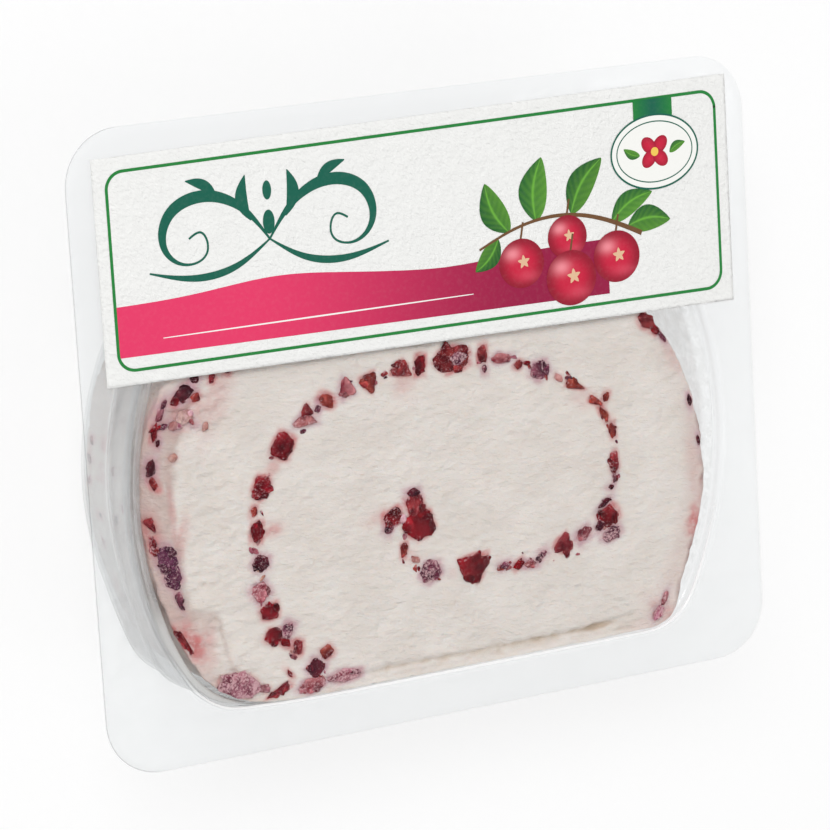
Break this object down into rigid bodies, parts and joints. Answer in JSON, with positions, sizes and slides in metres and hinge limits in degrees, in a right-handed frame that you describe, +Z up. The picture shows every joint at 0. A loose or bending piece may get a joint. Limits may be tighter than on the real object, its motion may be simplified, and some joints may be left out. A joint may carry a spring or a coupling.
{
  "type": "packed slice of cream cheese log",
  "caption": "Slice of rolled cream cheese with a spiral fruit layer, in a shallow clear tray with a flat clear lid and a paper label across one side.",
  "frame": {"origin": "under the middle of the pack's bounding box, on the surface the tray floor rests on", "axes": "+X along the pack's longer side, +Y towards the side that carries the label, +Z up from the tray floor to the lid"},
  "size_m": [0.12, 0.101, 0.0284],
  "materials": {
    "tray_plastic": "clear, slightly hazy formed plastic",
    "lid_film": "clear film, hazy where it is sealed",
    "label_paper": "felt-marked uncoated paper with a flat print",
    "cream_cheese": "soft, moist, finely porous cut face",
    "fruit": "wet dried-cranberry pieces"
  },
  "bodies": {
    "root": {"tray": "tray_plastic", "lid": "lid_film", "label": "label_paper", "cheese": "cream_cheese", "fruit_layer": "fruit"}
  },
  "joints": []
}
